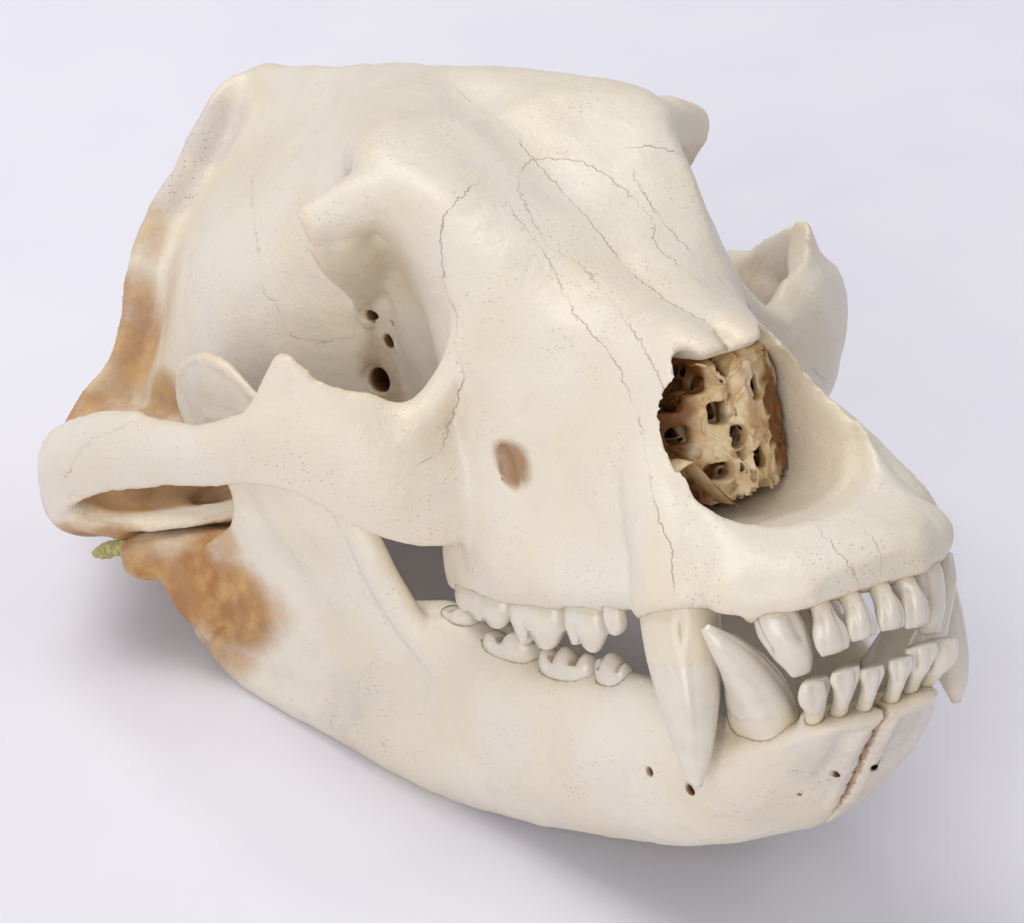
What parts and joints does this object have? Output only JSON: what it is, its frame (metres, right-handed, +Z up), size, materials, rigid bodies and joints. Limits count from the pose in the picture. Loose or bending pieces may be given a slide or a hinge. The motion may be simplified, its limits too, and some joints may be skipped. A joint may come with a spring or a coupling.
{
  "type": "bear skull",
  "caption": "Adult bear skull with its lower jaw and full set of teeth, jaws slightly parted, resting on the lower jaw.",
  "frame": {"origin": "centre of the bounding box in X and Y, at the ground the lower jaw rests on", "axes": "+Z up, -Y towards the nose, +X to the skull's left"},
  "size_m": [0.2345, 0.372, 0.182],
  "materials": {
    "ivory_bone": "satin ivory bone",
    "enamel": "glossy enamel",
    "dried_tissue": "dry and matt"
  },
  "bodies": {
    "root": {"cranium": "ivory_bone", "mandible_right": "ivory_bone", "mandible_left": "ivory_bone", "upper_incisor_1_right": "enamel", "upper_incisor_1_left": "enamel", "upper_incisor_2_right": "enamel", "upper_incisor_2_left": "enamel", "upper_incisor_3_right": "enamel", "upper_incisor_3_left": "enamel", "upper_canine_right": "enamel", "upper_canine_left": "enamel", "upper_premolar_3_right": "enamel", "upper_premolar_3_left": "enamel", "upper_premolar_4_right": "enamel", "upper_premolar_4_left": "enamel", "upper_molar_1_right": "enamel", "upper_molar_1_left": "enamel", "upper_molar_2_right": "enamel", "upper_molar_2_left": "enamel", "lower_incisor_1_right": "enamel", "lower_incisor_1_left": "enamel", "lower_incisor_2_right": "enamel", "lower_incisor_2_left": "enamel", "lower_incisor_3_right": "enamel", "lower_incisor_3_left": "enamel", "lower_canine_right": "enamel", "lower_canine_left": "enamel", "lower_premolar_4_right": "enamel", "lower_premolar_4_left": "enamel", "lower_molar_1_right": "enamel", "lower_molar_1_left": "enamel", "lower_molar_2_right": "enamel", "lower_molar_2_left": "enamel", "lower_molar_3_right": "enamel", "lower_molar_3_left": "enamel", "tissue_scrap": "dried_tissue"}
  },
  "joints": []
}
